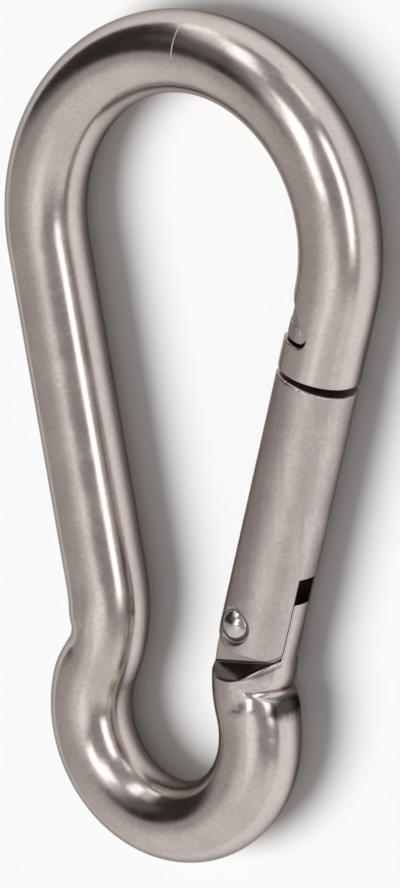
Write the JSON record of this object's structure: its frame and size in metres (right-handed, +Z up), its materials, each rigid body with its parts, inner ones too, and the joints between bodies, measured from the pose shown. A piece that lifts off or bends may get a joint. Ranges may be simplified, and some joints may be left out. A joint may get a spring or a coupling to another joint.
{
  "type": "snap hook",
  "caption": "Steel carabiner: a round bar bent into a pear-shaped loop with a large and a small bow, closed by a sprung gate that opens inwards.",
  "frame": {"origin": "middle of the base of the hook as it lies flat, under the middle of its overall box", "axes": "+X across the hook towards the gate, +Y along it towards the large bow, +Z up, square to the plane of the loop"},
  "size_m": [0.059, 0.116, 0.0118],
  "materials": {
    "bar_steel": "satin-polished stainless steel, light wear",
    "gate_steel": "satin stainless steel",
    "rivet_steel": "polished rivet heads",
    "inner_steel": "plain spring steel"
  },
  "bodies": {
    "bar": {"body": "bar_steel"},
    "swing_gate": {"gate": "gate_steel", "rivet": "rivet_steel", "spring": "inner_steel"},
    "follower": {"plunger": "inner_steel"}
  },
  "joints": [
    {"name": "gate_hinge", "type": "hinge", "parent": "bar", "child": "swing_gate", "pos_m": [0.01263, -0.02172, 0.0059], "axis": [0, 0, 1], "range_deg": [0, 30], "stiffness_Nm_per_rad": 0.25, "springref_deg": -27.5},
    {"name": "follower_slide", "type": "slide", "parent": "swing_gate", "child": "follower", "axis": [0.2079, 0.9781, 0], "range_m": [0, 0.0013], "deforming": ["spring"]}
  ],
  "couplings": [
    {"joint": "follower_slide", "follows": "gate_hinge", "m_per_rad": 0.0024}
  ]
}
